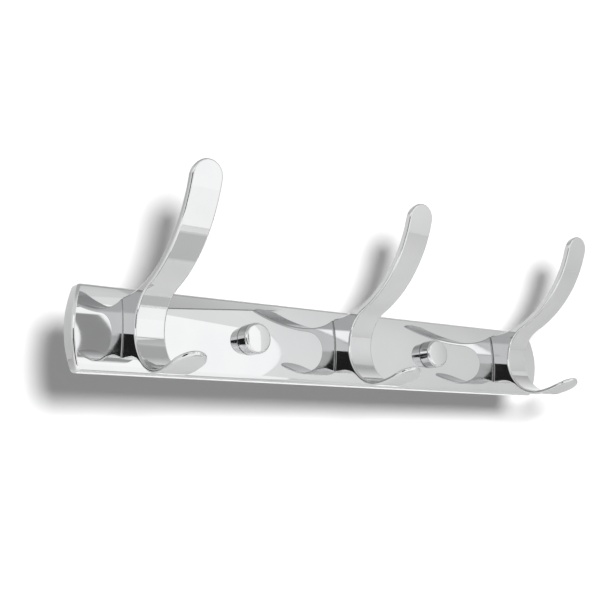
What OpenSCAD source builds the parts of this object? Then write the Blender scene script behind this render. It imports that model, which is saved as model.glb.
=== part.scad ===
// Wall hook rack: a cambered chromed rail with three cast double hooks and two capped wall fixings.
//
// Frame: +Z up, +X along the rail, -Y out of the wall into the room.
// The origin is the centre of the rail's back face, which lies in the wall plane (Y = 0).
// "Reach" below means distance out of the wall, so a reach of 10 is Y = -10.

/* [Rail] */
// Length of the rail along the wall
rail_l = 282; // [250:1:340]
// Height of the rail
rail_h = 36; // [34:0.5:42]
// Reach of the rail's crown, at mid height
rail_d = 8.2; // [8:0.1:10]
// How much less the rail's top and bottom edges reach than its crown
camber = 2.4; // [1.5:0.1:3]
// How far each rounded end bows out at mid height
end_bow = 3.5; // [1:0.1:6]
// Sheet thickness of the pressed rail
sheet_t = 1.2; // [0.8:0.1:1.4]

/* [Hooks] */
// Distance from one hook to the next, with the wall fixings midway between
hook_pitch = 112; // [90:1:120]
// Width of a hook
hook_w = 14; // [12:0.5:18]
// Radius of the upper arm's top face, which leaves the rail level and turns up
arm_r = 55; // [50:1:60]
// Thickness of the upper arm
arm_t = 3.1; // [2.6:0.1:3.6]
// Height of the upper arm's tip above the rail's mid height
arm_tip_z = 58; // [50:1:62]
// Height of the top of the foot above the rail's mid height
foot_top = 13.5; // [11:0.5:14]
// Depth of the bottom of the foot below the rail's mid height
foot_bottom = 12.3; // [11:0.1:13]
// Radius of the round throat between the arm and the lower lip
throat_r = 17.5; // [16:0.1:18]
// Reach of the throat's centre
throat_reach = 36.2; // [35:0.1:38]
// Radius of the lower lip's upturned top face
lip_r = 47; // [35:1:60]
// Thickness of the lower lip
lip_t = 1.9; // [1.5:0.1:2.5]
// Reach of the lower lip's tip
lip_reach = 55.5; // [52:0.5:60]

/* [Hook fastening] */
// Diameter of the two machine screws that hold each hook
m_screw_d = 4; // [3:0.5:4]
// Length of a machine screw under its head
m_screw_l = 12; // [10:1:13]
// Distance from one machine screw to the other
m_screw_gap = 13; // [11:0.5:14]
// Width of the backing block behind each hook
block_w = 26; // [20:1:34]

/* [Wall fixing] */
// Diameter of the wall screw's thread
wall_screw_d = 4.5; // [4:0.1:4.8]
// Length of the wall screw
wall_screw_l = 50; // [40:1:60]
// Outside diameter of the brass collar
collar_d = 10.6; // [10.4:0.1:10.8]
// Height of the collar above the rail's crown
collar_h = 4.3; // [4.1:0.1:4.5]
// Diameter of the screw cover
cover_d = 14; // [13.5:0.1:16]
// Length of the screw cover
cover_l = 7; // [6.8:0.1:9]

/* [Hidden] */
$fn = 96;
big_fn = 360;          // for arcs of large radius
cut = 1;               // how far a cutting solid runs past the face it cuts
slide_gap = 0.3;       // radial clearance between parts that slide past each other
seat_gap = 0.02;       // clearance between parts clamped against the rail's camber
thread_gap = 0.05;     // radial clearance of a screw in its tapped hole
bolt_gap = 0.25;       // radial clearance of a machine screw in a plain hole

// Rail
camber_r = (pow(rail_h / 2, 2) + pow(camber, 2)) / (2 * camber);
camber_c = [rail_d - camber_r, 0];
end_r = (pow(rail_h / 2, 2) + pow(end_bow, 2)) / (2 * end_bow);
end_gap = rail_l - 2 * end_r;   // between the centres of the two end arcs

// Hook profile, drawn with reach along x and height along y
arm_c = [8, foot_top + arm_r];
arm_outer_r = arm_r + arm_t;
arm_tip_a = -asin((arm_c.y - arm_tip_z) / (arm_r + arm_t / 2));
throat_rise = sqrt(pow(arm_outer_r + throat_r, 2) - pow(throat_reach - arm_c.x, 2));
arm_root_a = -88;
throat_c = [throat_reach, arm_c.y - throat_rise];
foot_reach = rail_d - camber;
// The foot's underside runs level to web_reach, then curves down onto the back of the throat.
web_reach = 13;
web_dx = throat_c.x - web_reach;
web_dz = foot_bottom + throat_c.y;
throat_outer_r = throat_r + lip_t;
web_r = (pow(web_dx, 2) + pow(web_dz, 2) - pow(throat_outer_r, 2)) / (2 * (throat_outer_r - web_dz));
web_c = [web_reach, -foot_bottom - web_r];
web_a = 180 + atan2(throat_c.y - web_c.y, web_dx);
lip_start_a = 5;       // slope of the lip where it leaves the throat
lip_c = throat_c - (lip_r - throat_r) * [sin(lip_start_a), -cos(lip_start_a)];
lip_tip_a = asin((lip_reach - lip_c.x) / lip_r);
overrun_a = 4;         // how far an arc runs on past the tip that trims it
throat_overrun_a = 20; // how far the throat's band runs back inside the foot
lip_overrun_a = 1.2;   // how far the lip's band runs back inside the throat's
lap = 0.05;            // how far a band's skin is set in where it runs into its neighbour

// Hook screws, which pass from the back of the rail into the foot
pan_head_r = m_screw_d;
pan_head_h = 0.6 * m_screw_d;
pan_recess_span = 1.1 * pan_head_r;
pan_dome_r = 1.75 * m_screw_d;
washer_r = 0.95 * m_screw_d;
washer_t = 1;
washer_gap = 0.2;      // between a washer's bore and its screw
washer_slit = 0.8;
washer_slit_tilt = 15;
head_sink = 0.6;       // how far the pan heads sit in from the wall plane
head_seat = head_sink + pan_head_h + washer_t;
tapped_reach = 16.5;   // reach of the bottom of the foot's blind holes

// Wall fixing
wall_hole_r = wall_screw_d / 2 + 0.35;
spacer_r = 6;
collar_r = collar_d / 2;
collar_top = rail_d + collar_h;
collar_wall = 0.9;     // left at the countersink's mouth and under the ring's groove
countersink_h = 2.2;
countersink_r = collar_r - collar_wall;
screw_head_r = countersink_r - 0.2;
screw_head_h = 2.1;
screw_head_top = collar_top - 0.1;
screw_recess_span = 1.1 * screw_head_r;
screw_neck_r = 0.37 * wall_screw_d;
screw_neck_end = -1;   // reach at which the thread starts, just inside the wall
screw_point_l = 5;
screw_point_r = 0.3;
ring_t = 1.1;          // cross-section of the rubber ring
groove_h = ring_t + 0.4;
groove_reach = rail_d + 0.35 * collar_h;
groove_r = collar_r - collar_wall;
cover_base = rail_d + 0.1;
cover_r = cover_d / 2;
cover_bore_r = collar_r + slide_gap;
cover_bore_l = collar_top + 0.6 - cover_base;
cover_dome_r = 70;
rim_chamfer = 0.6;
recess_wing = 0.9;     // width of a cross recess's wings
recess_deep = 1.3;

left = -1;
middle = 0;
right = 1;

// ---- helpers ----

// Turns its children's +Z out of the wall and puts them at x, z and a reach.
module out_of_wall(x, reach = 0, z = 0) {
    translate([x, -reach, z]) rotate([90, 0, 0]) children();
}

// Extrudes a side profile (reach, height) to a width along X.
module side_profile(width) {
    rotate([90, 0, -90]) linear_extrude(width, center = true) children();
}

module at_hook(side) {
    translate([side * hook_pitch, 0, 0]) children();
}

module at_hook_screws(reach) {
    for (z = [-m_screw_gap / 2, m_screw_gap / 2]) out_of_wall(0, reach, z) children();
}

module at_fixing(side, reach = 0) {
    out_of_wall(side * hook_pitch / 2, reach) children();
}

module wedge(r, a1, a2) {
    polygon([[0, 0], for (i = [0:4]) r * [cos(a1 + i * (a2 - a1) / 4), sin(a1 + i * (a2 - a1) / 4)]]);
}

module arc_band(r_in, r_out, a1, a2) {
    intersection() {
        difference() {
            circle(r_out, $fn = big_fn);
            circle(r_in, $fn = big_fn);
        }
        wedge(2 * r_out, a1, a2);
    }
}

// Everything behind the rail's cambered front, offset from it by gap, over a width along X.
module behind_camber(gap, width) {
    side_profile(width) translate(camber_c) circle(camber_r + gap, $fn = big_fn);
}

// The rail's outer form from a reach of back outward, or its hollow when inset by the sheet.
module rail_form(inset, back) {
    height = rail_h - 2 * inset;
    intersection() {
        side_profile(rail_l) intersection() {
            translate([back, -height / 2]) square([rail_d - inset - back, height]);
            translate(camber_c) circle(camber_r - inset, $fn = big_fn);
        }
        out_of_wall(0, back) linear_extrude(rail_d - back) {
            square([end_gap, rail_h], center = true);
            for (side = [left, right]) translate([side * end_gap / 2, 0]) circle(end_r - inset, $fn = big_fn);
        }
    }
}

// A strip outline along +Y from the origin, with a round end at length l.
module tongue(width, l) {
    translate([-width / 2, 0]) square([width, l - width / 2]);
    translate([0, l - width / 2]) circle(width / 2);
}

module cross_recess(span) {
    for (a = [0, 90]) rotate([0, 0, a]) {
        translate([-span / 2, -recess_wing / 2, -cut]) cube([span, recess_wing, recess_deep + cut]);
    }
}

// ---- rail ----

module rail_shell() {
    color("gainsboro") difference() {
        rail_form(0, 0);
        rail_form(sheet_t, -cut);
        for (side = [left, middle, right]) {
            at_hook(side) at_hook_screws(0) cylinder(r = m_screw_d / 2 + bolt_gap, h = rail_d + cut);
        }
        for (side = [left, right]) at_fixing(side) cylinder(r = wall_hole_r, h = rail_d + cut);
    }
}

// ---- hooks ----

// The hook is a foot and three bands. Each band runs on inside its neighbour and is set in there by
// the lap, so that the arcs, which are tangent to each other, cross cleanly.
module foot_profile() {
    difference() {
        polygon([[foot_reach, -foot_bottom], [web_reach, -foot_bottom], web_c, throat_c, arm_c,
            [arm_c.x, foot_top], [foot_reach, foot_top]]);
        translate(arm_c) circle(arm_r, $fn = big_fn);
        translate(throat_c) circle(throat_r, $fn = big_fn);
        translate(web_c) circle(web_r, $fn = big_fn);
    }
}

module arm_profile() {
    translate(arm_c) arc_band(arm_r, arm_outer_r - lap, arm_root_a, arm_tip_a + overrun_a);
}

module throat_profile() {
    translate(throat_c) arc_band(throat_r, throat_outer_r - lap, web_a - throat_overrun_a, 270 + lip_start_a);
}

module lip_profile() {
    start_a = 270 + lip_start_a - lip_overrun_a;
    translate(lip_c) arc_band(lip_r + lap, lip_r + lip_t - 2 * lap, start_a, 270 + lip_tip_a + overrun_a);
}

module hook(side) {
    color("silver") at_hook(side) difference() {
        union() {
            side_profile(hook_w) foot_profile();
            side_profile(hook_w) throat_profile();
            intersection() {
                side_profile(hook_w) arm_profile();
                out_of_wall(0) linear_extrude(arm_c.x + arm_outer_r + cut) tongue(hook_w, arm_tip_z);
            }
            intersection() {
                side_profile(hook_w) lip_profile();
                mirror([0, 1, 0]) translate([0, 0, -foot_bottom - arm_r])
                    linear_extrude(foot_bottom + arm_r) tongue(hook_w, lip_reach);
            }
        }
        behind_camber(seat_gap, hook_w + 2 * cut);
        at_hook_screws(0) cylinder(r = m_screw_d / 2 + thread_gap, h = tapped_reach);
    }
}

module backing_block(side) {
    block_h = rail_h - 2 * sheet_t - 2 * slide_gap;
    color("dimgray") at_hook(side) difference() {
        intersection() {
            translate([-block_w / 2, -rail_d, -block_h / 2]) cube([block_w, rail_d, block_h]);
            behind_camber(-sheet_t - seat_gap, block_w + 2 * cut);
        }
        at_hook_screws(-cut) cylinder(r = m_screw_d / 2 + bolt_gap, h = rail_d + 2 * cut);
        at_hook_screws(-cut) cylinder(r = pan_head_r + slide_gap, h = head_seat + cut);
    }
}

module hook_screws(side) {
    color("lightslategray") at_hook(side) at_hook_screws(head_sink) {
        difference() {
            intersection() {
                cylinder(r = pan_head_r, h = pan_head_h);
                translate([0, 0, pan_dome_r]) sphere(pan_dome_r);
            }
            cross_recess(pan_recess_span);
        }
        translate([0, 0, pan_head_h]) cylinder(r = m_screw_d / 2, h = m_screw_l);
    }
}

module lock_washers(side) {
    color("darkgray") at_hook(side) at_hook_screws(head_sink + pan_head_h) difference() {
        cylinder(r = washer_r, h = washer_t);
        translate([0, 0, -cut]) cylinder(r = m_screw_d / 2 + washer_gap, h = washer_t + 2 * cut);
        rotate([washer_slit_tilt, 0, 0]) translate([0, -washer_slit / 2, -cut - washer_t])
            cube([washer_r + cut, washer_slit, 3 * washer_t + 2 * cut]);
    }
}

// ---- wall fixings ----

module wall_spacer(side) {
    color("whitesmoke") difference() {
        intersection() {
            at_fixing(side) cylinder(r = spacer_r, h = rail_d);
            behind_camber(-sheet_t - seat_gap, rail_l);
        }
        at_fixing(side, -cut) cylinder(r = wall_hole_r, h = rail_d + 2 * cut);
    }
}

module wall_screw(side) {
    thread_start = screw_head_top - screw_neck_end;
    thread_end = wall_screw_l - screw_point_l;
    color("lightslategray") at_fixing(side, screw_head_top) rotate([180, 0, 0]) {
        difference() {
            cylinder(r1 = screw_head_r, r2 = wall_screw_d / 2, h = screw_head_h);
            cross_recess(screw_recess_span);
        }
        translate([0, 0, screw_head_h]) cylinder(r = screw_neck_r, h = thread_start - screw_head_h);
        translate([0, 0, thread_start]) cylinder(r = wall_screw_d / 2, h = thread_end - thread_start);
        translate([0, 0, thread_end]) cylinder(r1 = wall_screw_d / 2, r2 = screw_point_r, h = screw_point_l);
    }
}

module cap_collar(side) {
    color("goldenrod") difference() {
        at_fixing(side, foot_reach) cylinder(r = collar_r, h = collar_top - foot_reach);
        behind_camber(seat_gap, rail_l);
        at_fixing(side) cylinder(r = wall_hole_r, h = collar_top + cut);
        at_fixing(side, collar_top - countersink_h)
            cylinder(r1 = wall_hole_r, r2 = countersink_r, h = countersink_h);
        at_fixing(side, groove_reach - groove_h / 2) difference() {
            cylinder(r = collar_r + cut, h = groove_h);
            cylinder(r = groove_r, h = groove_h);
        }
    }
}

module cap_o_ring(side) {
    color("black") at_fixing(side, groove_reach) rotate_extrude()
        translate([groove_r + ring_t / 2, 0]) circle(ring_t / 2, $fn = 48);
}

module screw_cover(side) {
    color("silver") at_fixing(side, cover_base) intersection() {
        rotate_extrude() polygon([[cover_bore_r, 0], [cover_r, 0], [cover_r, cover_l - rim_chamfer],
            [cover_r - rim_chamfer, cover_l], [0, cover_l], [0, cover_bore_l],
            [cover_bore_r, cover_bore_l]]);
        translate([0, 0, cover_l - cover_dome_r]) sphere(cover_dome_r, $fn = big_fn);
    }
}

rail_shell();
hook(left);  // hook_left
hook(middle);  // hook_middle
hook(right);  // hook_right
backing_block(left);  // backing_block_left
backing_block(middle);  // backing_block_middle
backing_block(right);  // backing_block_right
hook_screws(left);  // hook_screws_left
hook_screws(middle);  // hook_screws_middle
hook_screws(right);  // hook_screws_right
lock_washers(left);  // lock_washers_left
lock_washers(middle);  // lock_washers_middle
lock_washers(right);  // lock_washers_right
wall_spacer(left);  // wall_spacer_left
wall_spacer(right);  // wall_spacer_right
wall_screw(left);  // wall_screw_left
wall_screw(right);  // wall_screw_right
cap_collar(left);  // cap_collar_left
cap_collar(right);  // cap_collar_right
cap_o_ring(left);  // cap_o_ring_left
cap_o_ring(right);  // cap_o_ring_right
screw_cover(left);  // screw_cover_left
screw_cover(right);  // screw_cover_right
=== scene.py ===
"""Visual model of the wall hook rack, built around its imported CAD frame.

Shapes are worked out in millimetres as (x, reach, z): x along the rail, reach out of the wall and
z up. The studio is laid out in metres.
"""

import math

import bpy
from mathutils import Matrix, Vector, geometry


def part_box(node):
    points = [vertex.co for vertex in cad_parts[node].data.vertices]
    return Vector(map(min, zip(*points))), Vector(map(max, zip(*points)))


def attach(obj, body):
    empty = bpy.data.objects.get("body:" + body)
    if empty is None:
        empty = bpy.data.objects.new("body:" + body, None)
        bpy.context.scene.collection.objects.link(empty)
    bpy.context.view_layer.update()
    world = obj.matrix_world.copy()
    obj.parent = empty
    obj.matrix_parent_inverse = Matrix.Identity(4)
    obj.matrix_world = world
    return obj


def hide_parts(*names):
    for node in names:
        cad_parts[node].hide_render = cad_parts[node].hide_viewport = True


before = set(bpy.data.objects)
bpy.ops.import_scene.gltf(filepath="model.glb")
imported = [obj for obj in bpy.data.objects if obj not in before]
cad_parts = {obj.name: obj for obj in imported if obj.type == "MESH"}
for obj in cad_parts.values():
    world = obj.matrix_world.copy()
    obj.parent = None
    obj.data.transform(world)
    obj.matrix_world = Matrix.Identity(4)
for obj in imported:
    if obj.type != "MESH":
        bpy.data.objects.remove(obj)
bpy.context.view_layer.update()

MM = 0.001
SIDES = ("left", "middle", "right")
FIXING_SIDES = ("left", "right")

# ---- sizes, read off the frame's boxes or given as on the real object, in mm ----

rail_low, rail_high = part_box("rail_shell")
WALL_Y = rail_high.y
MID_Z = (rail_low.z + rail_high.z) / 2
RAIL_L = (rail_high.x - rail_low.x) / MM
RAIL_H = (rail_high.z - rail_low.z) / MM
RAIL_D = (rail_high.y - rail_low.y) / MM
CAMBER = 2.4
END_BOW = 3.5
SHEET_T = 1.2
RAIL_EDGE_R = 1.3
RAIL_CORNER_R = 2.0
RAIL_BACK_R = 0.3
RAIL_INNER_R = 0.5
SEAT_GAP = 0.02

hook_low, hook_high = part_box("hook_middle")
HOOK_W = (hook_high.x - hook_low.x) / MM
ARM_TIP_Z = (hook_high.z - MID_Z) / MM
FOOT_TOP = 13.5
FOOT_BOTTOM = 12.3
ARM_R = 55.0
ARM_T = 3.1
ARM_C = (8.0, FOOT_TOP + ARM_R)
THROAT_R = 17.5
THROAT_REACH = 36.2
LIP_R = 47.0
LIP_T = 1.9
LIP_REACH = 55.5
LIP_START = math.radians(5)
WEB_REACH = 13.0
HOOK_EDGE_R = 0.9
HEEL_R = 1.1

COVER_FOOT_R = 0.25
COVER_RIM_R = 1.4
COVER_DOME_R = 50.0
COVER_BORE_R = 5.6
COVER_BORE_L = 4.8
COLLAR_EDGE_R = 0.25
COLLAR_R = 5.3
COLLAR_TOP = 12.5
COLLAR_BORE_R = 2.6
GROOVE_R = 4.4
GROOVE_REACH = 9.705
GROOVE_H = 1.5
COUNTERSINK_H = 2.2
COUNTERSINK_R = 4.4
RING_T = 1.1
SPACER_EDGE_R = 0.5
SPACER_R = 6.0
SCREW_HEAD_R = 4.2
SCREW_HEAD_H = 2.1
SCREW_HEAD_TOP = 12.4
SCREW_HEAD_RIM = 0.3
SCREW_HEAD_EDGE = 0.1
SCREW_CONE_OVERLAP = 0.5
SCREW_NECK_R = 1.67
SCREW_R = 2.25
SCREW_CORE_R = 1.5
RECESS_WING = 0.9
RECESS_SPAN = 1.1
RECESS_DEEP = 1.3
RECESS_TAPER = 0.82
RECESS_SLOPE = 0.1
THREAD_START = -1.0
THREAD_PITCH = 2.0
THREAD_RUNOUT = 0.7
CREST_HALF = 0.24
CREST_SHARPNESS = 0.8
CREST_AT_POINT = 0.25
CREST_GROWTH = 1.3
POINT_L = 5.0
POINT_R = 0.12
POINT_FILL = 1.6

# ---- derived shape values ----

CAMBER_R = ((RAIL_H / 2) ** 2 + CAMBER**2) / (2 * CAMBER)
CAMBER_C = RAIL_D - CAMBER_R
END_R = ((RAIL_H / 2) ** 2 + END_BOW**2) / (2 * END_BOW)
END_C = RAIL_L / 2 - END_R
ARM_OUTER_R = ARM_R + ARM_T
THROAT_RISE = math.sqrt((ARM_OUTER_R + THROAT_R) ** 2 - (THROAT_REACH - ARM_C[0]) ** 2)
THROAT_C = (THROAT_REACH, ARM_C[1] - THROAT_RISE)
THROAT_OUTER_R = THROAT_R + LIP_T
JOIN_A = math.atan2(-THROAT_RISE, THROAT_REACH - ARM_C[0])
WEB_DX = THROAT_C[0] - WEB_REACH
WEB_DZ = FOOT_BOTTOM + THROAT_C[1]
WEB_R = (WEB_DX**2 + WEB_DZ**2 - THROAT_OUTER_R**2) / (2 * (THROAT_OUTER_R - WEB_DZ))
WEB_C = (WEB_REACH, -FOOT_BOTTOM - WEB_R)
WEB_A = math.pi + math.atan2(THROAT_C[1] - WEB_C[1], WEB_DX)
DOWN = 1.5 * math.pi
LIP_C = (
    THROAT_C[0] - (LIP_R - THROAT_R) * math.sin(LIP_START),
    THROAT_C[1] + (LIP_R - THROAT_R) * math.cos(LIP_START),
)


def place(x, reach, z):
    """Takes a point in millimetres from the middle of the rail's back to the scene."""
    return Vector((x * MM, WALL_Y - reach * MM, MID_Z + z * MM))


def camber_reach(z, inset=0.0):
    """Reach of the rail's cambered front at height z, or of the same curve set in or out."""
    return CAMBER_C + math.sqrt((CAMBER_R - inset) ** 2 - z**2)


def spread(start, end, steps):
    """Evenly spaced values from start to end, both included."""
    return [start + (end - start) * i / steps for i in range(steps + 1)]


def unit(vector):
    """The same direction at length 1."""
    length = math.sqrt(sum(v * v for v in vector))
    return tuple(v / length for v in vector)


# ---- meshes whose normals follow the true curves ----


class Skin:
    """Collects welded points and faces, with a given normal at each corner."""

    WELD = 6

    def __init__(self, x=0.0):
        self.x = x
        self.points = []
        self.index = {}
        self.faces = []
        self.normals = []

    def point(self, co):
        """Index of a point, shared by all corners that lie there."""
        key = tuple(round(v, self.WELD) for v in co)
        if key not in self.index:
            self.index[key] = len(self.points)
            self.points.append(co)
        return self.index[key]

    def face(self, corners):
        """Adds a face from (point, normal) corners, turned so that it faces along its normals."""
        ids = []
        normals = []
        for co, normal in corners:
            i = self.point(co)
            if i not in ids:
                ids.append(i)
                normals.append(normal)
        if len(ids) < 3:
            return
        turned = geometry.normal([Vector(self.points[i]) for i in ids])
        total = Vector((0, 0, 0))
        for normal in normals:
            total += Vector(normal)
        if turned.dot(total) < 0:
            ids.reverse()
            normals.reverse()
        self.faces.append(ids)
        self.normals.append(normals)

    def strip(self, first, second, closed=False):
        """Quads between two rows of (point, normal) corners of equal length."""
        count = len(first)
        last = count if closed else count - 1
        for i in range(last):
            j = (i + 1) % count
            self.face([first[i], first[j], second[j], second[i]])

    def rows(self, rows, closed=False):
        """Strips between each row and the next."""
        for first, second in zip(rows, rows[1:]):
            self.strip(first, second, closed)

    def build(self, name, material):
        """Makes the object in the scene, with the given normals kept."""
        mesh = bpy.data.meshes.new(name)
        origin = Vector((self.x, 0, 0))
        points = [place(*(Vector(co) + origin)) for co in self.points]
        # Reach runs along -Y, so every face is wound the other way round in the scene.
        faces = [list(reversed(ids)) for ids in self.faces]
        mesh.from_pydata(points, [], faces)
        mesh.polygons.foreach_set("use_smooth", [True] * len(faces))
        flat = []
        for normals in self.normals:
            flat.extend((n[0], -n[1], n[2]) for n in reversed(normals))
        mesh.normals_split_custom_set(flat)
        mesh.materials.append(material)
        piece = bpy.data.objects.new(name, mesh)
        bpy.context.scene.collection.objects.link(piece)
        return piece


def mirrored(corner):
    """The same (point, normal) corner on the other side of the piece's middle plane."""
    (x, reach, z), (nx, nr, nz) = corner
    return (-x, reach, z), (-nx, nr, nz)


# ---- the hook ----

EDGE_STEPS = 6
TIP_STEPS = 18
ARM_STEPS = 36
ROOT_STEPS = 16
THROAT_STEPS = 46
BACK_STEPS = 18
LIP_STEPS = 10
WEB_STEPS = 16
CAMBER_STEPS = 24


def arc_station(centre, radius, angle, solid):
    """A place along an arc of the profile; solid is 1 where metal lies outside the arc, else -1."""

    def at(inset, depth):
        r = radius + solid * depth
        c, s = math.cos(angle), math.sin(angle)
        point = (HOOK_W / 2 - inset, centre[0] + r * c, centre[1] + r * s)
        return point, (0, -solid * c, -solid * s), (1, 0, 0)

    return at


def arm_tip_station(radius, solid, turn):
    """A place round the arm's half-round tip, which is round as seen from the front."""

    def at(inset, depth):
        w = HOOK_W / 2 - inset
        r = radius + solid * depth
        z = ARM_TIP_Z - HOOK_W / 2 + w * math.sin(turn)
        rise = z - ARM_C[1]
        run = math.sqrt(r * r - rise * rise)
        face = (0, -solid * run / r, -solid * rise / r)
        return (w * math.cos(turn), ARM_C[0] + run, z), face, (math.cos(turn), 0, math.sin(turn))

    return at


def lip_tip_station(radius, solid, turn):
    """A place round the lip's half-round tip, which is round as seen from below."""

    def at(inset, depth):
        w = HOOK_W / 2 - inset
        r = radius + solid * depth
        reach = LIP_REACH - HOOK_W / 2 + w * math.sin(turn)
        run = reach - LIP_C[0]
        drop = math.sqrt(r * r - run * run)
        face = (0, -solid * run / r, solid * drop / r)
        side = (math.cos(turn), math.sin(turn), 0)
        return (w * math.cos(turn), reach, LIP_C[1] - drop), face, side

    return at


def level_station(reach, height, up):
    """A place on the foot's level top or underside; no reach means that it meets the rail."""

    def at(inset, depth):
        z = height - up * depth
        out = camber_reach(z, -SEAT_GAP) + HEEL_R if reach is None else reach
        return (HOOK_W / 2 - inset, out, z), (0, 0, up), (1, 0, 0)

    return at


def arcs(centre, radius, start, end, steps, solid, skip=0):
    """Stations along an arc, without the first few where the run before it ends there."""
    return [arc_station(centre, radius, a, solid) for a in spread(start, end, steps)[skip:]]


def edge_rows(stations, radius):
    """Rows of corners across a rounded edge, from the face (first) to the side (last)."""
    rows = []
    for turn in spread(0, math.pi / 2, EDGE_STEPS):
        inset = radius * (1 - math.sin(turn))
        depth = radius * (1 - math.cos(turn))
        row = []
        for at in stations:
            point, face, side = at(inset, depth)
            normal = [math.cos(turn) * f + math.sin(turn) * s for f, s in zip(face, side)]
            if turn == 0:
                normal = face
            row.append((point, unit(normal)))
        rows.append(row)
    return rows


def tip_angle(radius):
    """Where the arm's round tip begins, on an arc about the arm's centre."""
    return math.asin((ARM_TIP_Z - HOOK_W / 2 - ARM_C[1]) / radius)


def lip_angle(radius):
    """Where the lip's round tip begins, on an arc about the lip's centre."""
    return DOWN + math.asin((LIP_REACH - HOOK_W / 2 - LIP_C[0]) / radius)


def add_sides(skin, edges, heel, ends):
    """The two flat sides: foot and throat as one face, arm and lip as strips between two edges."""
    front, top, bottom = edges
    arm_count, throat_end, web_end = ends
    foot = [p for p, _ in front[arm_count - 1 : throat_end]]
    foot += [p for p, _ in reversed(bottom[:web_end])]
    foot += [p for p, _ in reversed(heel)]
    foot += [p for p, _ in reversed(top[arm_count - 1 :])]
    arm = (front[:arm_count], top[:arm_count])
    lip = (front[throat_end - 1 :], bottom[web_end - 1 :])
    for mirror in (1, -1):
        skin.face([((mirror * p[0], p[1], p[2]), (mirror, 0, 0)) for p in foot])
        for first, second in (arm, lip):
            if mirror < 0:
                first = [mirrored(c) for c in first]
                second = [mirrored(c) for c in second]
            skin.strip(first, second)


def add_seat(skin, right):
    """The rounded edge all round the foot's seat, and the seat itself on the rail's camber."""
    outline = right + [mirrored(c) for c in reversed(right)]
    rings = []
    for turn in spread(0, math.pi / 2, EDGE_STEPS):
        inset = HEEL_R * (1 - math.cos(turn))
        ring = []
        for (px, _, pz), (nx, _, nz) in outline:
            z = pz - inset * nz
            reach = camber_reach(z, -SEAT_GAP) + HEEL_R * (1 - math.sin(turn))
            seat = (0, -(reach - CAMBER_C) / CAMBER_R, -z / CAMBER_R)
            side = (nx, 0, nz)
            normal = [math.cos(turn) * o + math.sin(turn) * i for o, i in zip(side, seat)]
            ring.append(((px - inset * nx, reach, z), unit(normal)))
        rings.append(ring)
    skin.rows(rings, closed=True)
    half = len(right)
    skin.strip(rings[-1][:half], list(reversed(rings[-1][half:])))


def hook_skin(x):
    """The cast double hook: arm, throat, lip and foot in one closed skin."""
    skin = Skin(x)
    tip_turns = spread(math.pi / 2, 0, TIP_STEPS)[:-1]
    lip_turns = spread(0, math.pi / 2, TIP_STEPS)[1:]
    lip_outer_r = LIP_R + LIP_T
    arm_front = [arm_tip_station(ARM_OUTER_R, -1, t) for t in tip_turns]
    arm_front += arcs(ARM_C, ARM_OUTER_R, tip_angle(ARM_OUTER_R), JOIN_A, ARM_STEPS, -1)
    throat = arcs(THROAT_C, THROAT_R, JOIN_A + math.pi, WEB_A, THROAT_STEPS, 1, 1)
    lip_top = arcs(THROAT_C, THROAT_R, WEB_A, DOWN + LIP_START, BACK_STEPS, 1, 1)
    lip_top += arcs(LIP_C, LIP_R, DOWN + LIP_START, lip_angle(LIP_R), LIP_STEPS, 1, 1)
    lip_top += [lip_tip_station(LIP_R, 1, t) for t in lip_turns]
    arm_back = [arm_tip_station(ARM_R, 1, t) for t in tip_turns]
    arm_back += arcs(ARM_C, ARM_R, tip_angle(ARM_R), JOIN_A, ARM_STEPS, 1)
    root = arcs(ARM_C, ARM_R, JOIN_A, -math.pi / 2, ROOT_STEPS, 1, 1)
    root += [level_station(None, FOOT_TOP, 1)]
    under = [level_station(None, -FOOT_BOTTOM, -1)]
    under += arcs(WEB_C, WEB_R, math.pi / 2, WEB_A - math.pi, WEB_STEPS, 1)
    lip_back = arcs(THROAT_C, THROAT_OUTER_R, WEB_A, DOWN + LIP_START, BACK_STEPS, -1, 1)
    lip_back += arcs(LIP_C, lip_outer_r, DOWN + LIP_START, lip_angle(lip_outer_r), LIP_STEPS, -1, 1)
    lip_back += [lip_tip_station(lip_outer_r, -1, t) for t in lip_turns]

    front = edge_rows(arm_front + throat + lip_top, HOOK_EDGE_R)
    top = edge_rows(arm_back + root, HOOK_EDGE_R)
    bottom = edge_rows(under + lip_back, HOOK_EDGE_R)
    for rows in (front, top, bottom):
        skin.strip(rows[0], [mirrored(c) for c in rows[0]])
        skin.rows(rows)
        skin.rows([[mirrored(c) for c in row] for row in rows])

    z_top = FOOT_TOP - HOOK_EDGE_R
    z_bottom = HOOK_EDGE_R - FOOT_BOTTOM
    heel = []
    for z in spread(z_top, z_bottom, CAMBER_STEPS)[1:-1]:
        heel.append(((HOOK_W / 2, camber_reach(z, -SEAT_GAP) + HEEL_R, z), (1, 0, 0)))
    arm_count = len(arm_front)
    ends = (arm_count, arm_count + len(throat), len(under))
    add_sides(skin, (front[-1], top[-1], bottom[-1]), heel, ends)
    add_seat(skin, [row[-1] for row in top] + heel + [row[0] for row in reversed(bottom)])
    return skin


# ---- the rail ----

CORNER_STEPS = 8
END_STEPS = 28


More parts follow.
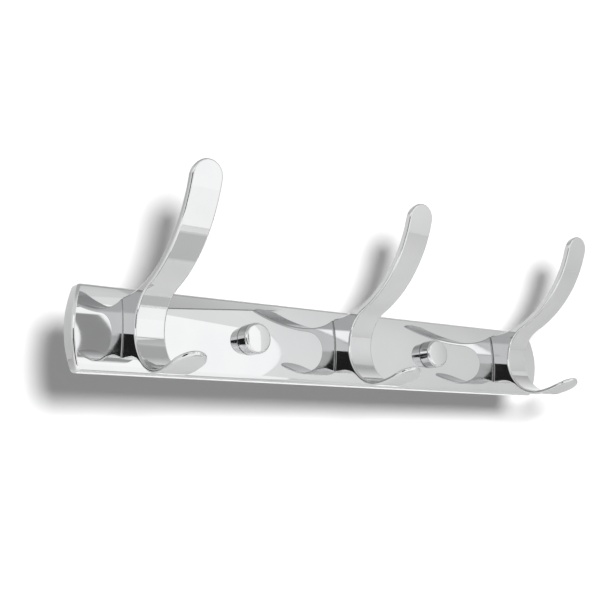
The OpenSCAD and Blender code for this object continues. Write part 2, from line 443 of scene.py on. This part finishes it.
def rail_track():
    """The right end of the rail's outline from top to bottom, as (x, z) with outward normals."""
    z_c = RAIL_H / 2 - RAIL_CORNER_R
    x_c = END_C + math.sqrt((END_R - RAIL_CORNER_R) ** 2 - z_c**2)
    meet = math.atan2(z_c, x_c - END_C)
    track = []
    for a in spread(math.pi / 2, meet, CORNER_STEPS):
        x = x_c + RAIL_CORNER_R * math.cos(a)
        track.append((x, z_c + RAIL_CORNER_R * math.sin(a), math.cos(a), math.sin(a)))
    for a in spread(meet, -meet, END_STEPS)[1:-1]:
        track.append((END_C + END_R * math.cos(a), END_R * math.sin(a), math.cos(a), math.sin(a)))
    for a in spread(-meet, -math.pi / 2, CORNER_STEPS):
        x = x_c + RAIL_CORNER_R * math.cos(a)
        track.append((x, RAIL_CORNER_R * math.sin(a) - z_c, math.cos(a), math.sin(a)))
    return track


def rail_ring(track, inset, reach_of, normal_of):
    """One closed ring of corners round the rail, down its right end and up its left."""
    right = []
    for x, z, ox, oz in track:
        zi = z - inset * oz
        point = (x - inset * ox, reach_of(zi), zi)
        right.append((point, unit(normal_of(zi, ox, oz))))
    return right + [mirrored(c) for c in reversed(right)]


def edge_normal(turn, inset, sign):
    """Normal across the rounded edge of a cambered face."""

    def at(z, ox, oz):
        slope = -z / math.sqrt((CAMBER_R - inset) ** 2 - z**2)
        out = math.sin(turn) - slope * oz * math.cos(turn)
        along = slope * ox * math.cos(turn)
        return sign * (ox * out + oz * along), sign * math.cos(turn), sign * (oz * out - ox * along)

    return at


def back_ring(track, inset, turn, sign):
    """A ring round the rounded back edge of the side walls; sign -1 is its inner half."""
    reach = RAIL_BACK_R * (1 - math.sin(turn))
    side = sign * math.cos(turn)
    back = -math.sin(turn)
    return rail_ring(track, inset, lambda z: reach, lambda z, ox, oz: (ox * side, back, oz * side))


def rail_skin():
    """The pressed rail: cambered front, rounded edge, side walls and hollow back."""
    skin = Skin()
    track = rail_track()
    half = len(track)
    rings = []
    for turn in spread(0, math.pi / 2, EDGE_STEPS + 2):
        inset = RAIL_EDGE_R * (1 - math.sin(turn))
        depth = RAIL_EDGE_R * (1 - math.cos(turn))
        ring = rail_ring(track, inset, lambda z: camber_reach(z) - depth, edge_normal(turn, 0, 1))
        rings.append(ring)
    front = rings[0]
    for turn in spread(0, math.pi / 2, EDGE_STEPS):
        rings.append(back_ring(track, RAIL_BACK_R * (1 - math.cos(turn)), turn, 1))
    for turn in spread(math.pi / 2, 0, EDGE_STEPS):
        rings.append(back_ring(track, SHEET_T - RAIL_BACK_R * (1 - math.cos(turn)), turn, -1))
    for turn in spread(math.pi / 2, 0, EDGE_STEPS):
        inset = SHEET_T + RAIL_INNER_R * (1 - math.sin(turn))
        depth = RAIL_INNER_R * (1 - math.cos(turn))
        normal_of = edge_normal(turn, SHEET_T, -1)
        ring = rail_ring(track, inset, lambda z: camber_reach(z, SHEET_T) - depth, normal_of)
        rings.append(ring)
    skin.rows(rings, closed=True)
    for ring in (front, rings[-1]):
        right = ring[:half]
        left = list(reversed(ring[half:]))
        skin.strip(right, left)
    return skin


# ---- turned parts ----

TURN_STEPS = 96
RING_STEPS = 24
ROUND_STEPS = 5
BUSH_STEPS = 6
DOME_STEPS = 10
ROWS_PER_PITCH = 14
SLOPE_STEP = 0.02


def line(start, end, steps=1):
    """A straight run of a turned part's section, with the metal on its left."""
    dr = end[0] - start[0]
    dn = end[1] - start[1]
    length = math.hypot(dr, dn)
    normal = (dn / length, -dr / length)
    return [((start[0] + dr * t, start[1] + dn * t), normal) for t in spread(0, 1, steps)]


def curve(centre, radius, start, end, steps, sign=1):
    """An arc of a turned part's section between two angles in degrees; sign -1 is a hollow arc."""
    run = []
    for a in spread(math.radians(start), math.radians(end), steps):
        c, s = math.cos(a), math.sin(a)
        run.append(((centre[0] + radius * c, centre[1] + radius * s), (sign * c, sign * s)))
    return run


def turn_section(skin, runs):
    """Revolves runs of (radius, reach) points about the fixing's axis."""
    turns = [2 * math.pi * i / TURN_STEPS for i in range(TURN_STEPS)]
    for run in runs:
        rows = []
        for (r, reach), (nr, nn) in run:
            row = []
            for a in turns:
                c, s = math.cos(a), math.sin(a)
                row.append(((r * c, reach, r * s), (nr * c, nn, nr * s)))
            rows.append(row)
        skin.rows(rows, closed=True)


def cover_skin(x):
    """The pull-off screw cover: a domed cup."""
    low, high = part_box("screw_cover_left")
    base = (WALL_Y - high.y) / MM
    top = (WALL_Y - low.y) / MM
    r = (high.x - low.x) / MM / 2
    rim = COVER_RIM_R
    foot_r = COVER_FOOT_R
    dome_n = top - COVER_DOME_R
    rim_c = (r - rim, dome_n + math.sqrt((COVER_DOME_R - rim) ** 2 - (r - rim) ** 2))
    meet = math.degrees(math.atan2(rim_c[1] - dome_n, rim_c[0]))
    ceiling = base + COVER_BORE_L
    skin = Skin(x)
    turn_section(
        skin,
        [
            line((COVER_BORE_R + foot_r, base), (r - foot_r, base)),
            curve((r - foot_r, base + foot_r), foot_r, -90, 0, ROUND_STEPS),
            line((r, base + foot_r), (r, rim_c[1]), 3),
            curve(rim_c, rim, 0, meet, DOME_STEPS),
            curve((0, dome_n), COVER_DOME_R, meet, 90, DOME_STEPS),
            line((0, ceiling), (COVER_BORE_R, ceiling), 3),
            line((COVER_BORE_R, ceiling), (COVER_BORE_R, base + foot_r), 3),
            curve((COVER_BORE_R + foot_r, base + foot_r), foot_r, 180, 270, ROUND_STEPS),
        ],
    )
    return skin


def collar_skin(x):
    """The turned collar, with its groove and its countersink."""
    base = camber_reach(COLLAR_R)
    edge = COLLAR_EDGE_R
    low = GROOVE_REACH - GROOVE_H / 2
    high = GROOVE_REACH + GROOVE_H / 2
    sink = COLLAR_TOP - COUNTERSINK_H
    skin = Skin(x)
    turn_section(
        skin,
        [
            line((COLLAR_BORE_R, base), (COLLAR_R, base)),
            line((COLLAR_R, base), (COLLAR_R, low)),
            line((COLLAR_R, low), (GROOVE_R, low)),
            line((GROOVE_R, low), (GROOVE_R, high)),
            line((GROOVE_R, high), (COLLAR_R, high)),
            line((COLLAR_R, high), (COLLAR_R, COLLAR_TOP - edge), 2),
            curve((COLLAR_R - edge, COLLAR_TOP - edge), edge, 0, 90, ROUND_STEPS),
            line((COLLAR_R - edge, COLLAR_TOP), (COUNTERSINK_R, COLLAR_TOP)),
            line((COUNTERSINK_R, COLLAR_TOP), (COLLAR_BORE_R, sink), 2),
            line((COLLAR_BORE_R, sink), (COLLAR_BORE_R, base), 2),
        ],
    )
    return skin


def ring_skin(x):
    """The rubber ring in the collar's groove."""
    skin = Skin(x)
    section = curve((GROOVE_R + RING_T / 2, GROOVE_REACH), RING_T / 2, 0, 360, RING_STEPS)
    turn_section(skin, [section])
    return skin


def spacer_skin(x):
    """The spacer between the wall and the back of the rail."""
    top = camber_reach(SPACER_R, SHEET_T + SEAT_GAP)
    edge = SPACER_EDGE_R
    skin = Skin(x)
    turn_section(
        skin,
        [
            line((COLLAR_BORE_R + edge, 0), (SPACER_R - edge, 0)),
            curve((SPACER_R - edge, edge), edge, -90, 0, BUSH_STEPS),
            line((SPACER_R, edge), (SPACER_R, top - edge), 3),
            curve((SPACER_R - edge, top - edge), edge, 0, 90, BUSH_STEPS),
            line((SPACER_R - edge, top), (COLLAR_BORE_R, top)),
            line((COLLAR_BORE_R, top), (COLLAR_BORE_R, edge), 3),
            curve((COLLAR_BORE_R + edge, edge), edge, 180, 270, BUSH_STEPS),
        ],
    )
    return skin


def recess_outline(span, scale):
    """A cross of two wings, as (x, z) corners going round."""
    a = RECESS_WING / 2 * scale
    b = span / 2 * scale
    corners = [(b, -a), (b, a), (a, a), (a, b), (-a, b), (-a, a)]
    return corners + [(-x, -z) for x, z in corners]


def thread_radius(turn, reach, tip):
    """Radius of the threaded shank at an angle and a reach, with a run-out at each end."""
    taper = min(1.0, max(0.0, (reach - tip) / POINT_L))
    core = POINT_R + (SCREW_CORE_R - POINT_R) * min(1.0, POINT_FILL * taper)
    runout = min(1.0, (THREAD_START - reach) / (THREAD_RUNOUT * THREAD_PITCH))
    phase = (turn / (2 * math.pi) - reach / THREAD_PITCH) % 1.0
    crest = max(0.0, 1 - abs(phase - 0.5) / CREST_HALF)
    growth = min(1.0, CREST_AT_POINT + CREST_GROWTH * taper)
    height = (SCREW_R - SCREW_CORE_R) * runout * growth
    return core + height * crest**CREST_SHARPNESS


def screw_head(skin):
    """The countersunk head: neck, cone, rim and the face with its cross recess."""
    cone_end = SCREW_HEAD_TOP - SCREW_HEAD_H - SCREW_CONE_OVERLAP
    rim = SCREW_HEAD_TOP - SCREW_HEAD_RIM
    r = SCREW_HEAD_R - SCREW_HEAD_EDGE
    turn_section(
        skin,
        [
            line((SCREW_NECK_R, THREAD_START), (SCREW_NECK_R, cone_end), 4),
            line((SCREW_NECK_R, cone_end), (SCREW_HEAD_R, rim), 4),
            line((SCREW_HEAD_R, rim), (r, SCREW_HEAD_TOP)),
        ],
    )
    up = (0, 1, 0)
    turns = [2 * math.pi * i / TURN_STEPS for i in range(TURN_STEPS)]
    outer = [(r * math.cos(a), SCREW_HEAD_TOP, r * math.sin(a)) for a in turns]
    span = RECESS_SPAN * SCREW_HEAD_R
    mouth = [(cx, SCREW_HEAD_TOP, cz) for cx, cz in recess_outline(span, 1.0)]
    bed_top = SCREW_HEAD_TOP - RECESS_DEEP
    bed = [(cx, bed_top, cz) for cx, cz in recess_outline(span, RECESS_TAPER)]
    loops = [[Vector(p) for p in outer], [Vector(p) for p in mouth]]
    corners = outer + mouth
    for tri in geometry.tessellate_polygon(loops):
        skin.face([(corners[i], up) for i in tri])
    for i, first in enumerate(mouth):
        j = (i + 1) % len(mouth)
        second = mouth[j]
        normal = unit((-(second[2] - first[2]), RECESS_SLOPE, second[0] - first[0]))
        middle = (first[0] + second[0]) / 2, (first[2] + second[2]) / 2
        inward = bed[i][0] + bed[j][0] - 2 * middle[0], bed[i][2] + bed[j][2] - 2 * middle[1]
        if normal[0] * inward[0] + normal[2] * inward[1] < 0:
            normal = (-normal[0], normal[1], -normal[2])
        skin.face([(first, normal), (second, normal), (bed[j], normal), (bed[i], normal)])
    skin.face([(p, up) for p in bed])


def thread_corner(turn, reach, tip):
    """A (point, normal) corner of the threaded shank."""
    r = thread_radius(turn, reach, tip)
    ahead = thread_radius(turn + SLOPE_STEP, reach, tip)
    behind = thread_radius(turn - SLOPE_STEP, reach, tip)
    above = thread_radius(turn, min(THREAD_START, reach + SLOPE_STEP), tip)
    below = thread_radius(turn, max(tip, reach - SLOPE_STEP), tip)
    round_slope = (ahead - behind) / (2 * SLOPE_STEP)
    long_slope = (above - below) / (2 * SLOPE_STEP)
    c, s = math.cos(turn), math.sin(turn)
    normal = unit((c + round_slope / r * s, -long_slope, s - round_slope / r * c))
    return (r * c, reach, r * s), normal


def screw_thread(skin):
    """The threaded shank, with its point and the shoulder where it meets the neck."""
    tip = (WALL_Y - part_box("wall_screw_left")[1].y) / MM
    count = int((THREAD_START - tip) / THREAD_PITCH * ROWS_PER_PITCH)
    turns = [2 * math.pi * i / TURN_STEPS for i in range(TURN_STEPS)]
    rows = []
    for reach in spread(THREAD_START, tip, count):
        rows.append([thread_corner(a, reach, tip) for a in turns])
    skin.rows(rows, closed=True)
    down = (0, -1, 0)
    skin.face([(p, down) for p, _ in rows[-1]])
    shoulder = []
    for a in turns:
        point = (SCREW_NECK_R * math.cos(a), THREAD_START, SCREW_NECK_R * math.sin(a))
        shoulder.append((point, down))
    skin.strip(shoulder, [(p, down) for p, _ in rows[0]], closed=True)


def wall_screw_skin(x):
    """The countersunk wall screw, head and thread."""
    skin = Skin(x)
    screw_head(skin)
    screw_thread(skin)
    return skin


# ---- materials ----

NOISE_LOW = 0.3
NOISE_HIGH = 0.7
TINT_DETAIL = 3.0
WEAR_DETAIL = 5.0
GRAIN_DETAIL = 4.0
EVEN = (1, 1, 1)


def new_material(name):
    """A node material, with its nodes and links."""
    material = bpy.data.materials.new(name)
    material.use_nodes = True
    return material, material.node_tree.nodes, material.node_tree.links


def noise_node(nodes, links, scale, detail, stretch=EVEN):
    """Noise over the piece's own place in the scene, in cycles per metre."""
    coords = nodes.new("ShaderNodeTexCoord")
    mapping = nodes.new("ShaderNodeMapping")
    mapping.inputs["Scale"].default_value = stretch
    noise = nodes.new("ShaderNodeTexNoise")
    noise.inputs["Scale"].default_value = scale
    noise.inputs["Detail"].default_value = detail
    links.new(coords.outputs["Object"], mapping.inputs["Vector"])
    links.new(mapping.outputs["Vector"], noise.inputs["Vector"])
    return noise


def ramp_node(nodes, links, source, dark, light):
    """Noise turned into a colour between dark and light."""
    ramp = nodes.new("ShaderNodeValToRGB")
    ramp.color_ramp.elements[0].position = NOISE_LOW
    ramp.color_ramp.elements[1].position = NOISE_HIGH
    ramp.color_ramp.elements[0].color = (*dark, 1)
    ramp.color_ramp.elements[1].color = (*light, 1)
    links.new(source, ramp.inputs["Fac"])
    return ramp


def range_node(nodes, links, source, low, high):
    """Noise turned into a value between low and high."""
    remap = nodes.new("ShaderNodeMapRange")
    remap.inputs["From Min"].default_value = NOISE_LOW
    remap.inputs["From Max"].default_value = NOISE_HIGH
    remap.inputs["To Min"].default_value = low
    remap.inputs["To Max"].default_value = high
    links.new(source, remap.inputs["Value"])
    return remap


def bump_node(nodes, links, source, depth):
    """Bump whose depth is in metres."""
    bump = nodes.new("ShaderNodeBump")
    bump.inputs["Strength"].default_value = 1.0
    bump.inputs["Distance"].default_value = depth
    links.new(source, bump.inputs["Height"])
    return bump


def surface(name, colours, rough, metallic, scales, grain_depth, stretch=EVEN):
    """A finish whose colour, roughness and fine relief each vary at their own scale."""
    tint_scale, wear_scale, grain_scale = scales
    material, nodes, links = new_material(name)
    shader = nodes["Principled BSDF"]
    shader.inputs["Metallic"].default_value = metallic
    tint = noise_node(nodes, links, tint_scale, TINT_DETAIL)
    ramp = ramp_node(nodes, links, tint.outputs["Fac"], *colours)
    links.new(ramp.outputs["Color"], shader.inputs["Base Color"])
    wear = noise_node(nodes, links, wear_scale, WEAR_DETAIL, stretch)
    remap = range_node(nodes, links, wear.outputs["Fac"], *rough)
    links.new(remap.outputs["Result"], shader.inputs["Roughness"])
    grain = noise_node(nodes, links, grain_scale, GRAIN_DETAIL, stretch)
    bump = bump_node(nodes, links, grain.outputs["Fac"], grain_depth)
    links.new(bump.outputs["Normal"], shader.inputs["Normal"])
    return material


CHROME = ((0.585, 0.59, 0.595), (0.615, 0.618, 0.62))
MATERIALS = {}


def add_finish(name, **look):
    MATERIALS[name] = surface(name, **look)


add_finish(
    "rail_chrome",
    colours=CHROME,
    rough=(0.015, 0.045),
    metallic=1.0,
    scales=(40, 260, 55),
    grain_depth=2.0e-6,
    stretch=(0.25, 1, 1),
)
add_finish(
    "hook_chrome",
    colours=CHROME,
    rough=(0.015, 0.05),
    metallic=1.0,
    scales=(60, 300, 90),
    grain_depth=3.0e-6,
)
add_finish(
    "cover_chrome",
    colours=CHROME,
    rough=(0.02, 0.05),
    metallic=1.0,
    scales=(80, 400, 160),
    grain_depth=1.5e-6,
)
add_finish(
    "block_nylon",
    colours=((0.028, 0.028, 0.03), (0.05, 0.05, 0.053)),
    rough=(0.45, 0.62),
    metallic=0.0,
    scales=(90, 700, 2400),
    grain_depth=4.0e-5,
)
add_finish(
    "spacer_nylon",
    colours=((0.74, 0.73, 0.68), (0.82, 0.815, 0.78)),
    rough=(0.38, 0.5),
    metallic=0.0,
    scales=(120, 600, 1500),
    grain_depth=1.5e-5,
)
add_finish(
    "zinc_steel",
    colours=((0.58, 0.61, 0.66), (0.74, 0.75, 0.76)),
    rough=(0.2, 0.38),
    metallic=1.0,
    scales=(500, 900, 2600),
    grain_depth=6.0e-6,
)
add_finish(
    "spring_steel",
    colours=((0.4, 0.41, 0.43), (0.52, 0.52, 0.53)),
    rough=(0.28, 0.45),
    metallic=1.0,
    scales=(600, 1200, 3000),
    grain_depth=8.0e-6,
)
add_finish(
    "collar_brass",
    colours=((0.68, 0.47, 0.18), (0.82, 0.62, 0.28)),
    rough=(0.16, 0.3),
    metallic=1.0,
    scales=(300, 900, 1400),
    grain_depth=1.0e-5,
    stretch=(0.05, 6, 0.05),
)
add_finish(
    "ring_rubber",
    colours=((0.012, 0.012, 0.012), (0.024, 0.024, 0.025)),
    rough=(0.5, 0.7),
    metallic=0.0,
    scales=(400, 1500, 3000),
    grain_depth=1.5e-5,
)


# ---- pieces ----


def centre_x(node):
    """A node's place along the rail, in mm."""
    low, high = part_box(node)
    return (low.x + high.x) / 2 / MM


def add_piece(skin, name, node, slot, body="rack"):
    """A finer mesh in a CAD node's place, riding that node's body."""
    piece = skin.build(name, MATERIALS[slot])
    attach(piece, body)
    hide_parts(node)
    return piece


add_piece(rail_skin(), "pressed_rail", "rail_shell", "rail_chrome")
for side in SIDES:
    node = f"hook_{side}"
    add_piece(hook_skin(centre_x(node)), f"cast_hook_{side}", node, "hook_chrome")
for side in FIXING_SIDES:
    x = centre_x(f"wall_screw_{side}")
    cover = cover_skin(x)
    add_piece(cover, f"cover_cap_{side}", f"screw_cover_{side}", "cover_chrome", f"{side}_cover")
    add_piece(collar_skin(x), f"turned_collar_{side}", f"cap_collar_{side}", "collar_brass")
    add_piece(ring_skin(x), f"rubber_ring_{side}", f"cap_o_ring_{side}", "ring_rubber")
    add_piece(spacer_skin(x), f"spacer_bush_{side}", f"wall_spacer_{side}", "spacer_nylon")
    add_piece(wall_screw_skin(x), f"threaded_wall_screw_{side}", f"wall_screw_{side}", "zinc_steel")

# These keep their CAD meshes.
CARRIED = {
    "backing_block": "block_nylon",
    "hook_screws": "zinc_steel",
    "lock_washers": "spring_steel",
}
for stem, slot in CARRIED.items():
    for side in SIDES:
        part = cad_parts[f"{stem}_{side}"]
        part.data.materials.clear()
        part.data.materials.append(MATERIALS[slot])


# ---- stage, lights and camera ----

LENS = 57.5
CLIP_START = 0.01
CLIP_END = 50
CAMERA_AT = place(-296.7, 358.35, -63.6)
CAMERA_YAW = math.radians(37.57)
CAMERA_PITCH = math.radians(10.83)
CAMERA_ROLL = math.radians(-1.5)
FLOOR_DROP = 0.25
BACKDROP_DEPTH = 1.65
STAGE_HALF = 4.0
SHADE_LEVEL = 0.235
HORIZON_LEVEL = 1.0
CEILING_LEVEL = 0.6
CEILING_FROM = math.radians(32)
CEILING_TO = math.radians(48)
KEY_RIGHT = 0.0208
KEY_UP = 0.019
KEY_BEHIND = 0.015
KEY_RADIUS = 0.0095
KEY_POWER = 43.0
SUN_POWER = 1.7
SUN_ANGLE = math.radians(40)
PANEL_TOP = 0.8
SHARP = 0.001


def camera_axes():
    """The camera's right, up and forward directions."""
    forward = Vector(
        (
            math.sin(CAMERA_YAW) * math.cos(CAMERA_PITCH),
            math.cos(CAMERA_YAW) * math.cos(CAMERA_PITCH),
            math.sin(CAMERA_PITCH),
        )
    )
    level = Vector((math.cos(CAMERA_YAW), -math.sin(CAMERA_YAW), 0))
    up = level.cross(forward)
    right = level * math.cos(CAMERA_ROLL) + up * math.sin(CAMERA_ROLL)
    up = up * math.cos(CAMERA_ROLL) - level * math.sin(CAMERA_ROLL)
    return right, up, forward


def add_camera():
    right, up, forward = camera_axes()
    data = bpy.data.cameras.new("camera")
    data.lens = LENS
    data.clip_start = CLIP_START
    data.clip_end = CLIP_END
    camera = bpy.data.objects.new("camera", data)
    matrix = Matrix((right, up, -forward)).transposed().to_4x4()
    matrix.translation = CAMERA_AT
    camera.matrix_world = matrix
    bpy.context.scene.collection.objects.link(camera)
    bpy.context.scene.camera = camera


def add_sheet(name, corners, material):
    """A flat stage piece; it gives no bounce light, so that the shade level stays even."""
    mesh = bpy.data.meshes.new(name)
    mesh.from_pydata(corners, [], [tuple(range(len(corners)))])
    mesh.materials.append(material)
    sheet = bpy.data.objects.new(name, mesh)
    bpy.context.scene.collection.objects.link(sheet)
    sheet.visible_diffuse = False
    return sheet


def add_stage():
    """A plain floor and a backdrop square to the camera."""
    paint = surface(
        "studio_paint",
        colours=((0.88, 0.88, 0.88), (0.9, 0.9, 0.9)),
        rough=(0.85, 0.95),
        metallic=0.0,
        scales=(3, 8, 300),
        grain_depth=1.0e-5,
    )
    _, _, forward = camera_axes()
    ahead = Vector((forward.x, forward.y, 0)).normalized()
    aside = Vector((-ahead.y, ahead.x, 0)) * STAGE_HALF
    foot = CAMERA_AT + ahead * BACKDROP_DEPTH
    foot.z = rail_low.z - FLOOR_DROP
    near = ahead * -STAGE_HALF
    rise = Vector((0, 0, STAGE_HALF))
    left = foot + aside
    right = foot - aside
    add_sheet("studio_floor", [left, right, right + near, left + near], paint)
    add_sheet("studio_backdrop", [left, right, right + rise, left + rise], paint)


def mask_node(nodes, links, source, soft):
    """1 across the middle of a panel, falling to 0 over a soft band at its two edges."""
    centre = nodes.new("ShaderNodeMath")
    centre.operation = "SUBTRACT"
    centre.inputs[1].default_value = 0.5
    links.new(source, centre.inputs[0])
    size = nodes.new("ShaderNodeMath")
    size.operation = "ABSOLUTE"
    links.new(centre.outputs[0], size.inputs[0])
    mask = nodes.new("ShaderNodeMapRange")
    mask.interpolation_type = "SMOOTHSTEP"
    mask.inputs["From Min"].default_value = 0.5 - soft
    mask.inputs["From Max"].default_value = 0.5
    mask.inputs["To Min"].default_value = 1.0
    mask.inputs["To Max"].default_value = 0.0
    links.new(size.outputs[0], mask.inputs["Value"])
    return mask


def glow_material(name, glow, soft):
    """Emission from the first glow to the second across a panel, and to 1 over its soft edges."""
    material, nodes, links = new_material(name)
    material.cycles.emission_sampling = "NONE"
    nodes.remove(nodes["Principled BSDF"])
    coords = nodes.new("ShaderNodeTexCoord")
    split = nodes.new("ShaderNodeSeparateXYZ")
    links.new(coords.outputs["UV"], split.inputs["Vector"])
    across = nodes.new("ShaderNodeMapRange")
    across.inputs["To Min"].default_value = glow[0]
    across.inputs["To Max"].default_value = glow[1]
    links.new(split.outputs["X"], across.inputs["Value"])
    both = nodes.new("ShaderNodeMath")
    both.operation = "MULTIPLY"
    for axis, factor in zip(("X", "Y"), both.inputs):
        mask = mask_node(nodes, links, split.outputs[axis], soft)
        links.new(mask.outputs["Result"], factor)
    blend = nodes.new("ShaderNodeMapRange")
    blend.inputs["To Min"].default_value = 1.0
    links.new(both.outputs[0], blend.inputs["Value"])
    links.new(across.outputs["Result"], blend.inputs["To Max"])
    emission = nodes.new("ShaderNodeEmission")
    links.new(blend.outputs["Result"], emission.inputs["Strength"])
    links.new(emission.outputs["Emission"], nodes["Material Output"].inputs["Surface"])
    return material


def add_glow(name, corners, glow, soft):
    """A glowing studio panel that only reflections see; glow is at its left and its right edge."""
    panel = add_sheet(name, corners, glow_material(name, glow, soft))
    uv = panel.data.uv_layers.new(name="across")
    for loop, place_uv in zip(uv.data, ((0, 0), (1, 0), (1, 1), (0, 1))):
        loop.uv = place_uv
    panel.visible_camera = False
    panel.visible_shadow = False


def add_panel(name, azimuths, distances, lows, highs, glow, soft):
    """A standing panel round the rack, each value given at its left and its right edge.

    Azimuths run from straight out of the wall towards the right, in degrees.
    """
    feet = []
    for azimuth, distance in zip(azimuths, distances):
        turn = math.radians(azimuth)
        feet.append(Vector((math.sin(turn), -math.cos(turn), 0)) * distance)
    left, right = feet
    corners = [
        (left.x, left.y, lows[0]),
        (right.x, right.y, lows[1]),
        (right.x, right.y, highs[1]),
        (left.x, left.y, highs[0]),
    ]
    add_glow(name, corners, glow, soft)


def add_world():
    """White to the camera, a bright horizon and a darker ceiling to the chrome, shade elsewhere."""
    world = bpy.data.worlds.new("studio")
    bpy.context.scene.world = world
    world.use_nodes = True
    nodes = world.node_tree.nodes
    links = world.node_tree.links
    coords = nodes.new("ShaderNodeTexCoord")
    split = nodes.new("ShaderNodeSeparateXYZ")
    links.new(coords.outputs["Generated"], split.inputs["Vector"])
    rise = nodes.new("ShaderNodeMapRange")
    rise.interpolation_type = "SMOOTHSTEP"
    rise.inputs["From Min"].default_value = math.sin(CEILING_FROM)
    rise.inputs["From Max"].default_value = math.sin(CEILING_TO)
    rise.inputs["To Min"].default_value = HORIZON_LEVEL
    rise.inputs["To Max"].default_value = CEILING_LEVEL
    links.new(split.outputs["Z"], rise.inputs["Value"])
    path = nodes.new("ShaderNodeLightPath")
    shade = nodes.new("ShaderNodeMix")
    shade.inputs["B"].default_value = SHADE_LEVEL
    links.new(path.outputs["Is Diffuse Ray"], shade.inputs["Factor"])
    links.new(rise.outputs["Result"], shade.inputs["A"])
    white = nodes.new("ShaderNodeMix")
    white.inputs["B"].default_value = 1.0
    links.new(path.outputs["Is Camera Ray"], white.inputs["Factor"])
    links.new(shade.outputs["Result"], white.inputs["A"])
    background = nodes["Background"]
    background.inputs["Color"].default_value = (1, 1, 1, 1)
    links.new(white.outputs["Result"], background.inputs["Strength"])


def add_light(kind, name, energy):
    """A light that the chrome doesn't mirror."""
    data = bpy.data.lights.new(name, kind)
    data.energy = energy
    light = bpy.data.objects.new(name, data)
    bpy.context.scene.collection.objects.link(light)
    light.visible_glossy = False
    return light


def add_lights():
    """A key light beside the camera, for the shadow on the backdrop, and soft light from above."""
    right, up, forward = camera_axes()
    key = add_light("POINT", "key_light", KEY_POWER)
    key.location = CAMERA_AT + right * KEY_RIGHT + up * KEY_UP - forward * KEY_BEHIND
    key.data.shadow_soft_size = KEY_RADIUS
    key.data.use_nodes = True
    nodes = key.data.node_tree.nodes
    falloff = nodes.new("ShaderNodeLightFalloff")
    falloff.inputs["Strength"].default_value = 1.0
    key.data.node_tree.links.new(falloff.outputs["Constant"], nodes["Emission"].inputs["Strength"])
    sun = add_light("SUN", "ceiling_light", SUN_POWER)
    sun.data.angle = SUN_ANGLE


def add_softbox(floor):
    """The softbox ahead of the rack, with its edge, its frame and a hood over it."""
    bottom = floor - 0.05
    add_panel(
        "softbox",
        azimuths=(5, 33.8),
        distances=(0.9, 0.9),
        lows=(bottom, bottom),
        highs=(0.7, 0.24),
        glow=(1.5, 1.5),
        soft=0.01,
    )
    add_panel(
        "softbox_edge",
        azimuths=(5, 40),
        distances=(0.96, 0.96),
        lows=(0.2, 0.2),
        highs=(0.5, 0.65),
        glow=(1.15, 1.15),
        soft=0.005,
    )
    add_panel(
        "softbox_frame",
        azimuths=(5, 40),
        distances=(0.89, 0.89),
        lows=(0.28, 0.533),
        highs=(0.294, 0.547),
        glow=(0.3, 0.3),
        soft=0.02,
    )
    add_panel(
        "softbox_hood",
        azimuths=(25.5, 41),
        distances=(0.88, 0.89),
        lows=(0.443, 0.55),
        highs=(PANEL_TOP, PANEL_TOP),
        glow=(0.7, 0.9),
        soft=0.06,
    )


def add_side_panels(floor):
    """A fill panel to the right, a thin grey stand and a panel to the left."""
    add_panel(
        "fill_panel",
        azimuths=(33.8, 62),
        distances=(0.92, 0.9),
        lows=(floor, floor),
        highs=(PANEL_TOP, PANEL_TOP),
        glow=(1.17, 0.84),
        soft=SHARP,
    )
    add_panel(
        "grey_stand",
        azimuths=(14.9, 17.9),
        distances=(0.8, 0.8),
        lows=(-0.185, -0.185),
        highs=(0.28, 0.28),
        glow=(0.42, 0.42),
        soft=0.03,
    )
    add_panel(
        "left_panel",
        azimuths=(-75, -10),
        distances=(1.2, 1.2),
        lows=(0.06, 0.06),
        highs=(0.38, 0.38),
        glow=(1.4, 1.4),
        soft=0.1,
    )


def add_window():
    """A small bright window beyond the camera."""
    bottom = 0.17
    top = 0.34
    corners = [
        (-0.66, -0.65, bottom),
        (-0.6, -0.69, bottom),
        (-0.58, -0.7, top),
        (-0.66, -0.65, top),
    ]
    add_glow("window", corners, (2.4, 2.4), 0.15)


def add_camera_shade(floor):
    """The dark shape of the camera and what stands to its left, as (aside, height) corners."""
    right, _, _ = camera_axes()
    aside = Vector((right.x, right.y, 0))
    at = Vector((CAMERA_AT.x, CAMERA_AT.y, 0))
    upright = Vector((0, 0, 1))
    left = -0.2
    top = 0.042
    outline = ((left, floor), (0.025, floor), (0.004, top), (left, top))
    corners = [at + aside * u + upright * v for u, v in outline]
    add_glow("camera_shade", corners, (0.03, 0.03), SHARP)


def add_floor_patches(floor):
    """A painted pool of light on the floor ahead of the rack and a painted shadow under it, glowing
    sheets that only reflections see, in mm.
    """
    # Painted pool of light: the lit floor ahead of the rack, as a brighter glowing patch.
    lit = [(-60, -250), (165, -250), (560, -760), (60, -960)]
    add_glow("floor_painted_light", [(x * MM, y * MM, floor) for x, y in lit], (1.44, 1.44), 0.02)
    # Painted shadow: the rack's shade on the floor under it, as a dimmer glowing patch.
    shaded = [(-20, -40), (200, -40), (200, -215), (-20, -215)]
    add_glow("floor_painted_shadow", [(x * MM, y * MM, floor) for x, y in shaded], (0.76, 0.76), 0.1)


def add_reflections():
    """What the chrome sees in the studio; each panel stands on the floor or clear of it."""
    floor = rail_low.z - FLOOR_DROP + MM
    add_softbox(floor)
    add_side_panels(floor)
    add_window()
    add_camera_shade(floor)
    add_floor_patches(floor)


add_camera()
add_stage()
add_world()
add_lights()
add_reflections()
bpy.context.scene.view_settings.view_transform = "Standard"
